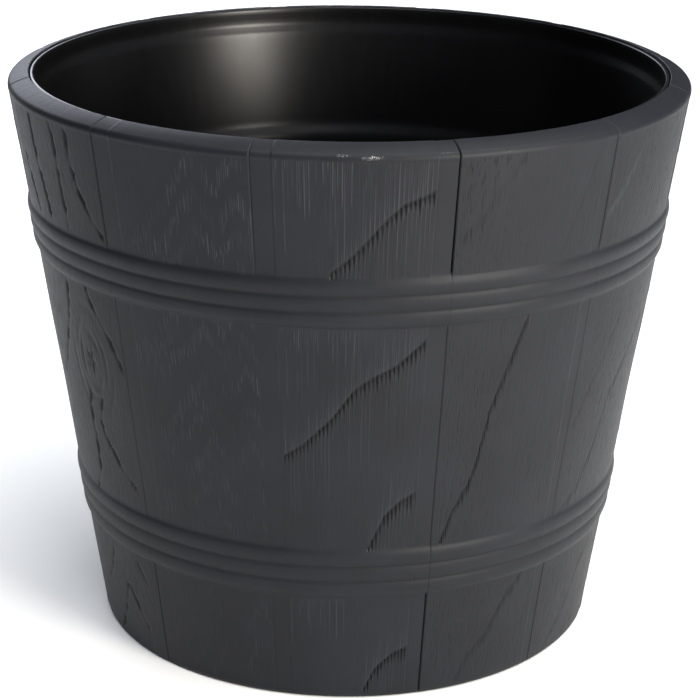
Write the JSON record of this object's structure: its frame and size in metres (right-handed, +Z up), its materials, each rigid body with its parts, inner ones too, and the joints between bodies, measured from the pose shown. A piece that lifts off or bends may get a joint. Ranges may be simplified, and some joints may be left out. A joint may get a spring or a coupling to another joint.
{
  "type": "planter",
  "caption": "Tapered barrel-look planter in dark wood-effect plastic, with ribbed hoops, a broad turned-in rim, a smooth lift-out liner and push-in drain plugs.",
  "frame": {"origin": "on the ground at the middle of the base", "axes": "+Z up along the planter's axis, the pictured front faces -Y, +X to the right seen from the front"},
  "size_m": [0.3998, 0.3998, 0.338],
  "materials": {
    "wood_effect_plastic": "moulded wood grain, satin charcoal",
    "liner_plastic": "smooth moulded, soft gloss black",
    "plug_rubber": "moulded, matt black"
  },
  "bodies": {
    "shell": {"outer_shell": "wood_effect_plastic"},
    "liner": {"inner_liner": "liner_plastic"},
    "plug_1": {"drain_plug_1": "plug_rubber"},
    "plug_2": {"drain_plug_2": "plug_rubber"},
    "plug_3": {"drain_plug_3": "plug_rubber"},
    "plug_4": {"drain_plug_4": "plug_rubber"}
  },
  "joints": [
    {"name": "liner_lift", "type": "slide", "parent": "shell", "child": "liner", "axis": [0, 0, 1], "range_m": [0, 0.34]},
    {"name": "plug_1_pull", "type": "slide", "parent": "shell", "child": "plug_1", "axis": [0, 0, -1], "range_m": [0, 0.016]},
    {"name": "plug_2_pull", "type": "slide", "parent": "shell", "child": "plug_2", "axis": [0, 0, -1], "range_m": [0, 0.016]},
    {"name": "plug_3_pull", "type": "slide", "parent": "shell", "child": "plug_3", "axis": [0, 0, -1], "range_m": [0, 0.016]},
    {"name": "plug_4_pull", "type": "slide", "parent": "shell", "child": "plug_4", "axis": [0, 0, -1], "range_m": [0, 0.016]}
  ]
}
